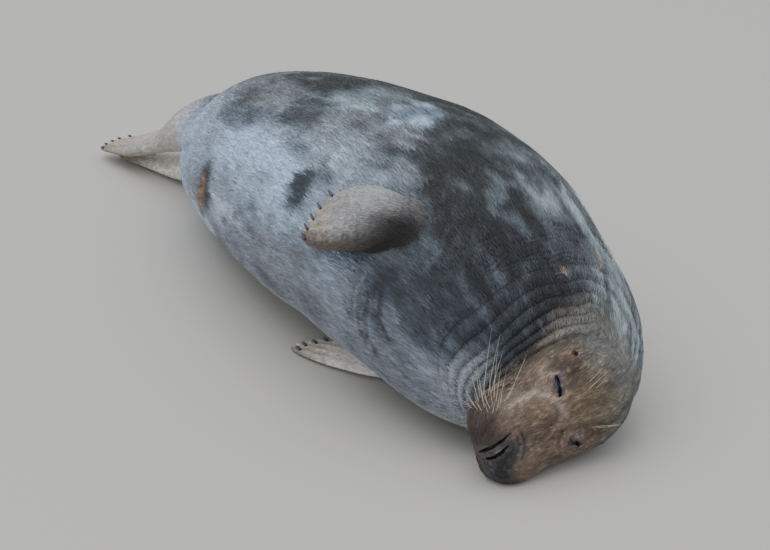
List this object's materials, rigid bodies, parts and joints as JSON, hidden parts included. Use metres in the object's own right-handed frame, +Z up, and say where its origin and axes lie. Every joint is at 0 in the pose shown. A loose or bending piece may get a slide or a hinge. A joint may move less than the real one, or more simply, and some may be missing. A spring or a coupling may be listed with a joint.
{
  "type": "grey seal model",
  "caption": "Life-size still model of a grey seal asleep on its left side, with its head bent towards its belly and one foreflipper laid on the flank.",
  "frame": {"origin": "on the floor, under the middle of the animal's bounding box", "axes": "+X from the tail to the neck, +Y towards the back of the animal, -Y towards its belly and the way its head points, +Z up, which is the animal's right side"},
  "size_m": [1.6844, 0.559, 0.452],
  "materials": {
    "coat": "short damp fur",
    "flipper_skin": "thinly furred skin",
    "nose_skin": "wet bare skin",
    "eye_surface": "wet",
    "ear_skin": "bare skin",
    "claw_horn": "polished horn"
  },
  "bodies": {
    "root": {"hips": "coat", "abdomen": "coat", "chest": "coat", "shoulders": "coat", "neck": "coat", "head": "coat", "muzzle": "coat", "lower_jaw": "coat", "tail": "coat", "nose": "nose_skin", "eye_right": "eye_surface", "eye_left": "eye_surface", "ear_right": "ear_skin", "ear_left": "ear_skin", "foreflipper_right": "flipper_skin", "foreflipper_left": "flipper_skin", "hindflipper_right": "flipper_skin", "hindflipper_left": "flipper_skin", "foreclaw_right_1": "claw_horn", "foreclaw_right_2": "claw_horn", "foreclaw_right_3": "claw_horn", "foreclaw_right_4": "claw_horn", "foreclaw_right_5": "claw_horn", "foreclaw_left_1": "claw_horn", "foreclaw_left_2": "claw_horn", "foreclaw_left_3": "claw_horn", "foreclaw_left_4": "claw_horn", "foreclaw_left_5": "claw_horn", "hindclaw_right_1": "claw_horn", "hindclaw_right_2": "claw_horn", "hindclaw_right_3": "claw_horn", "hindclaw_right_4": "claw_horn", "hindclaw_right_5": "claw_horn", "hindclaw_left_1": "claw_horn", "hindclaw_left_2": "claw_horn", "hindclaw_left_3": "claw_horn", "hindclaw_left_4": "claw_horn", "hindclaw_left_5": "claw_horn"}
  },
  "joints": []
}
